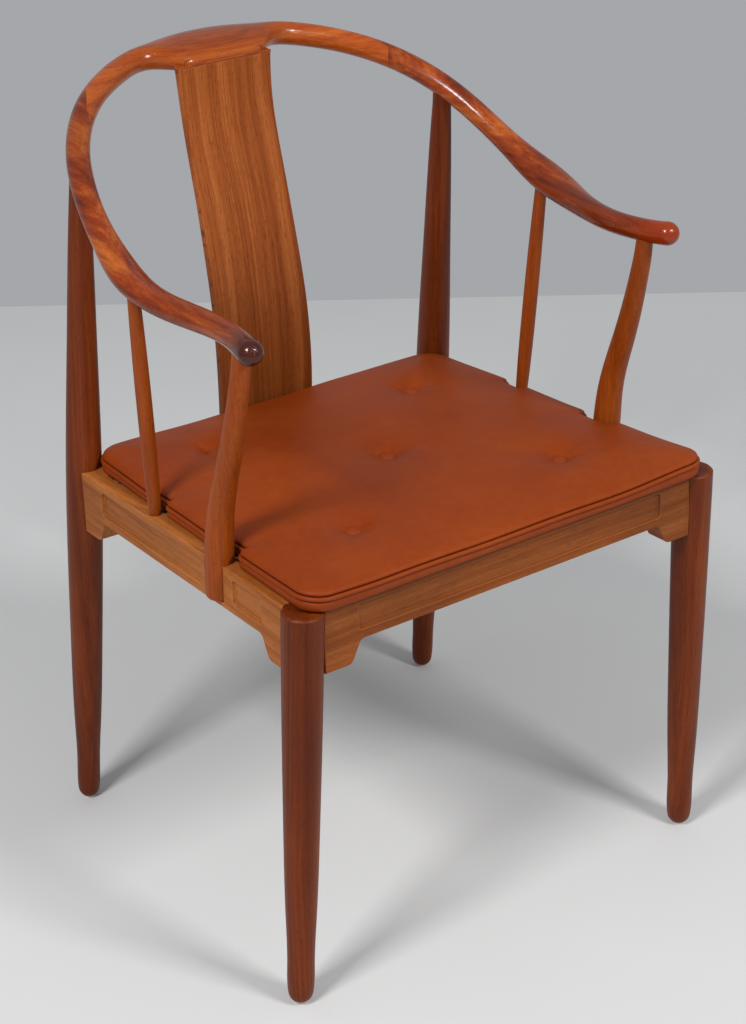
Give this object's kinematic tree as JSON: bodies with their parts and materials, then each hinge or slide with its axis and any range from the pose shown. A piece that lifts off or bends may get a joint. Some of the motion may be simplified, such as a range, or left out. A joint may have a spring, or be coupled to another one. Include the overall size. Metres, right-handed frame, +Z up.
{
  "type": "horseshoe back armchair",
  "caption": "Wooden armchair with a bent horseshoe bow for crest and arms, a curved splat, turned legs, bracketed seat rails and a loose leather seat pad.",
  "frame": {"origin": "on the floor under the middle of the chair's bounding box", "axes": "-Y towards the open front, +Z up, +X to the right as seen from the front; left and right in names are as seen from the front"},
  "size_m": [0.5408, 0.5507, 0.8137],
  "materials": {
    "bow_wood": "clear lacquer, half gloss, reddish brown",
    "splat_wood": "clear lacquer, straight ribbon grain",
    "leg_wood": "clear lacquer, straight grain",
    "rail_wood": "clear lacquer, straight grain",
    "block_wood": "plain sanded",
    "screw_steel": "bright zinc",
    "webbing": "woven jute, matt",
    "glide_plastic": "pale, satin",
    "cushion_leather": "cognac leather, soft sheen",
    "cushion_filling": "fibre filling, matt"
  },
  "bodies": {
    "chair": {"crest_rail": "bow_wood", "arm_left": "bow_wood", "arm_right": "bow_wood", "back_splat": "splat_wood", "leg_front_left": "leg_wood", "leg_front_right": "leg_wood", "leg_rear_left": "leg_wood", "leg_rear_right": "leg_wood", "rail_front": "rail_wood", "rail_rear": "rail_wood", "rail_left": "rail_wood", "rail_right": "rail_wood", "arm_post_left": "leg_wood", "arm_post_right": "leg_wood", "spindle_left": "leg_wood", "spindle_right": "leg_wood", "corner_block_front_left": "block_wood", "corner_block_front_right": "block_wood", "corner_block_rear_left": "block_wood", "corner_block_rear_right": "block_wood", "corner_screws": "screw_steel", "webbing_long": "webbing", "webbing_cross": "webbing", "webbing_tacks": "screw_steel", "glide_front_left": "glide_plastic", "glide_front_right": "glide_plastic", "glide_rear_left": "glide_plastic", "glide_rear_right": "glide_plastic"},
    "cushion": {"cushion_cover_top": "cushion_leather", "cushion_cover_bottom": "cushion_leather", "cushion_core": "cushion_filling", "cushion_welt": "cushion_leather", "cushion_buttons": "cushion_leather"}
  },
  "joints": [
    {"name": "cushion_lift", "type": "slide", "parent": "chair", "child": "cushion", "axis": [0, -0.0595, 0.9982], "range_m": [0, 0.04]}
  ]
}
